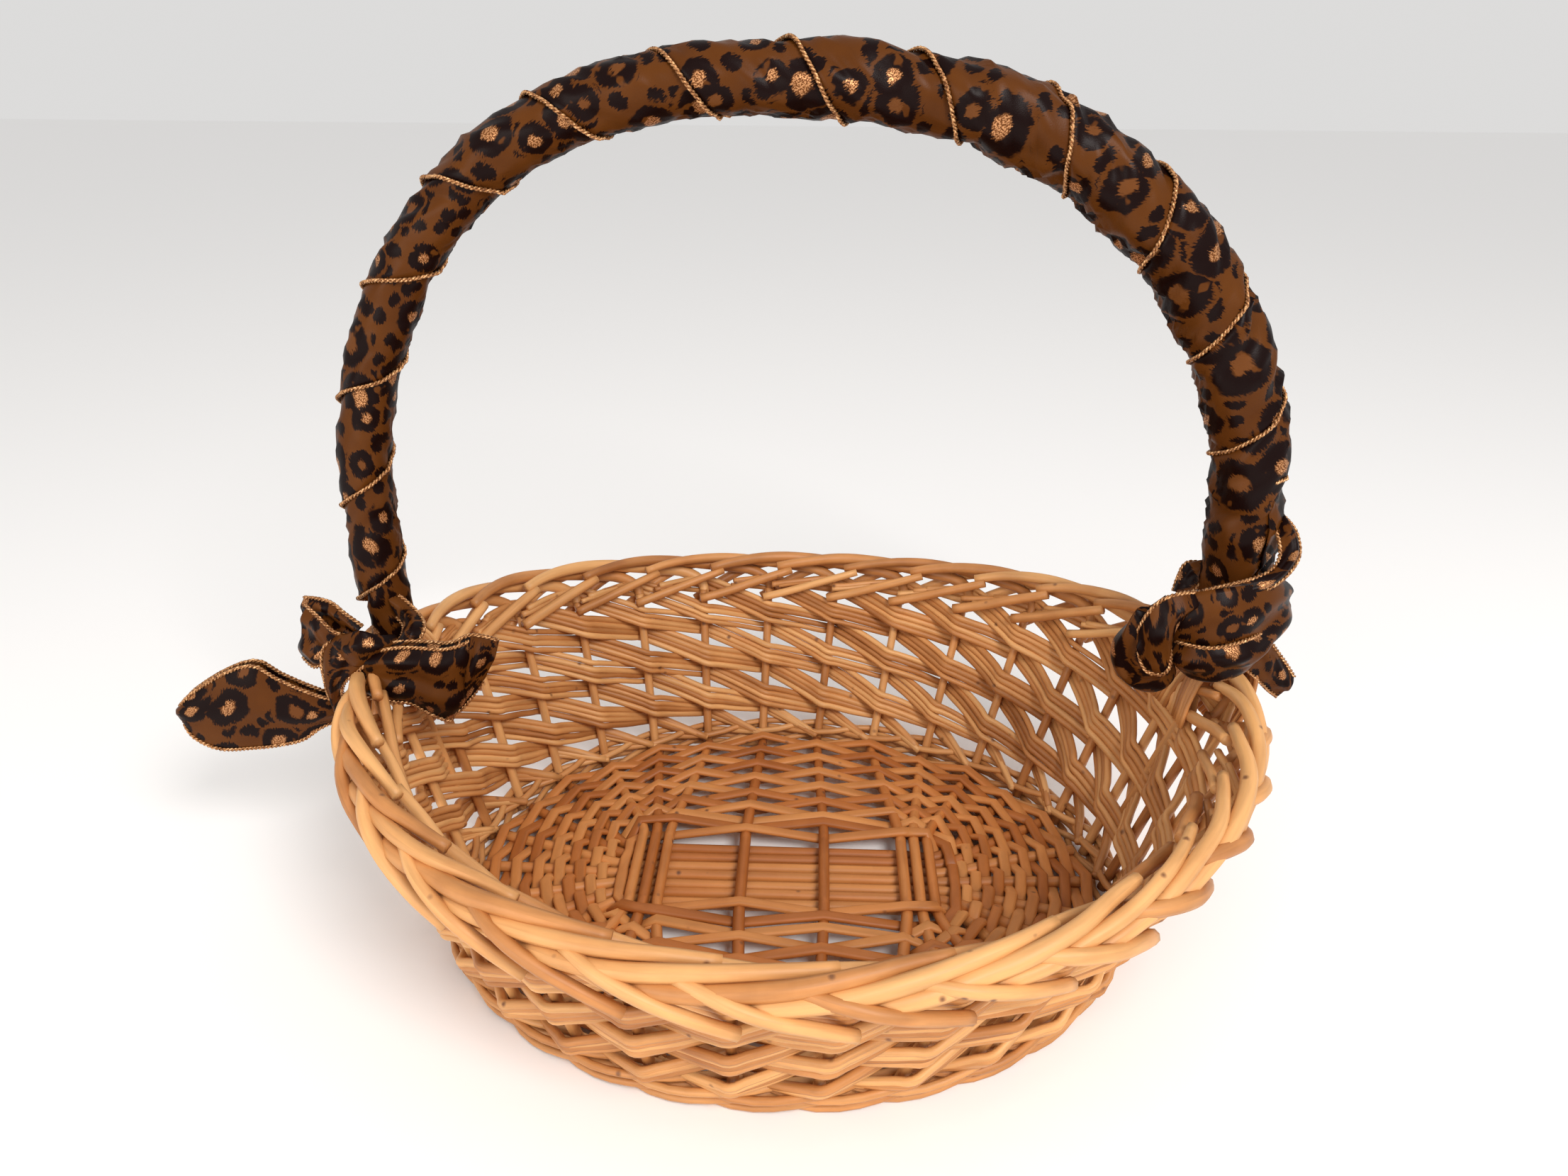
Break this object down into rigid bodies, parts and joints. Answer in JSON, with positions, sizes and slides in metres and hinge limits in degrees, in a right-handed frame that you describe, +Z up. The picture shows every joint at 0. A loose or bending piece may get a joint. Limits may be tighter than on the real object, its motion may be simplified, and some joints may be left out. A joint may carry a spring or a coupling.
{
  "type": "wicker basket",
  "caption": "Oval open-weave willow basket with a fixed arched handle, wrapped in satin ribbon tied in a bow at each foot of the handle.",
  "frame": {"origin": "middle of the floor rectangle under the whole object, on the surface it stands on", "axes": "+X along the oval towards the right handle foot, +Y to the far side, +Z up"},
  "size_m": [0.5328, 0.357, 0.3951],
  "materials": {
    "peeled_willow": "satin peeled willow rods, light straw colour with small dark knots",
    "base_willow": "satin peeled willow of a warmer orange tone",
    "printed_ribbon": "satin ribbon with a printed rosette pattern",
    "gold_cord": "twisted metallic thread along the ribbon's edges"
  },
  "bodies": {
    "root": {"base_long_stick_1": "base_willow", "base_long_stick_2": "base_willow", "base_long_stick_3": "base_willow", "base_long_stick_4": "base_willow", "base_long_stick_5": "base_willow", "base_long_stick_6": "base_willow", "base_long_stick_7": "base_willow", "base_cross_stick_1": "base_willow", "base_cross_stick_2": "base_willow", "base_cross_stick_3": "base_willow", "base_cross_stick_4": "base_willow", "base_cross_stick_5": "base_willow", "base_cross_stick_6": "base_willow", "base_cross_stick_7": "base_willow", "base_cross_stick_8": "base_willow", "base_weave": "base_willow", "side_stake_01": "peeled_willow", "side_stake_02": "peeled_willow", "side_stake_03": "peeled_willow", "side_stake_04": "peeled_willow", "side_stake_05": "peeled_willow", "side_stake_06": "peeled_willow", "side_stake_07": "peeled_willow", "side_stake_08": "peeled_willow", "side_stake_09": "peeled_willow", "side_stake_10": "peeled_willow", "side_stake_11": "peeled_willow", "side_stake_12": "peeled_willow", "side_stake_13": "peeled_willow", "side_stake_14": "peeled_willow", "side_stake_15": "peeled_willow", "side_stake_16": "peeled_willow", "side_stake_17": "peeled_willow", "side_stake_18": "peeled_willow", "side_stake_19": "peeled_willow", "side_stake_20": "peeled_willow", "side_stake_21": "peeled_willow", "side_stake_22": "peeled_willow", "side_stake_23": "peeled_willow", "side_stake_24": "peeled_willow", "side_stake_25": "peeled_willow", "side_stake_26": "peeled_willow", "side_stake_27": "peeled_willow", "side_stake_28": "peeled_willow", "side_stake_29": "peeled_willow", "side_stake_30": "peeled_willow", "foot_wale": "peeled_willow", "lower_weave_band": "peeled_willow", "middle_weave_band": "peeled_willow", "upper_weave_band": "peeled_willow", "border": "peeled_willow", "handle_core": "peeled_willow", "handle_roping": "peeled_willow", "ribbon_wrap": "printed_ribbon", "left_bow_knot": "printed_ribbon", "left_bow_long_loop": "printed_ribbon", "left_bow_small_loop": "printed_ribbon", "left_bow_front_loop": "printed_ribbon", "right_bow_knot": "printed_ribbon", "right_bow_tail": "printed_ribbon"}
  },
  "joints": []
}
